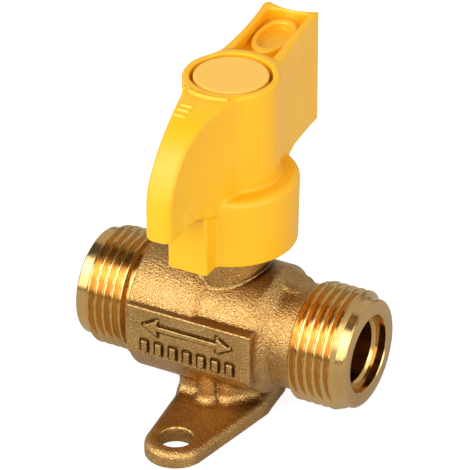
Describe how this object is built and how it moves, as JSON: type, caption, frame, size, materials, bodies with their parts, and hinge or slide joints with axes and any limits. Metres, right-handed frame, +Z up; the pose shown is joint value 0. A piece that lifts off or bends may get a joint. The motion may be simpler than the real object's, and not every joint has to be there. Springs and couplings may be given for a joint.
{
  "type": "ball valve",
  "caption": "Quarter-turn brass gas ball valve with male threaded ends, a screwed end connector, a two-ear wall flange and a yellow plastic lever with a snap-in cap.",
  "frame": {"origin": "centre of the flange's underside, on the stem axis", "axes": "+Z up along the stem, away from the wall; X along the pipe, +X towards the screwed end connector; -Y towards the lever's nose when the valve is closed"},
  "size_m": [0.0492, 0.0503, 0.0606],
  "materials": {
    "cast_brass": "blasted casting with a fine grain, plain machined thread at one end",
    "machined_brass": "turned, bright",
    "ball_chrome": "polished plating",
    "seat_ptfe": "smooth, waxy",
    "seal_rubber": "satin",
    "lever_plastic": "moulded, satin",
    "cap_plastic": "moulded, satin",
    "zinc_steel": "zinc plated"
  },
  "bodies": {
    "body": {"valve_body": "cast_brass", "end_connector": "machined_brass", "connector_o_ring": "seal_rubber", "inlet_seat": "seat_ptfe", "inlet_seat_o_ring": "seal_rubber", "outlet_seat": "seat_ptfe", "outlet_seat_o_ring": "seal_rubber", "stem_thrust_washer": "seat_ptfe"},
    "lever": {"stem": "machined_brass", "lower_stem_o_ring": "seal_rubber", "upper_stem_o_ring": "seal_rubber", "handle": "lever_plastic", "screw_washer": "zinc_steel", "handle_screw": "zinc_steel", "handle_cap": "cap_plastic"},
    "ball": {"ball": "ball_chrome"}
  },
  "joints": [
    {"name": "lever_turn", "type": "hinge", "parent": "body", "child": "lever", "pos_m": [0, 0, 0.0156], "axis": [0, 0, 1], "range_deg": [0, 90]},
    {"name": "ball_turn", "type": "hinge", "parent": "body", "child": "ball", "pos_m": [0, 0, 0.0156], "axis": [0, 0, 1], "range_deg": [0, 90]}
  ],
  "couplings": [
    {"joint": "ball_turn", "follows": "lever_turn", "ratio": 1}
  ]
}
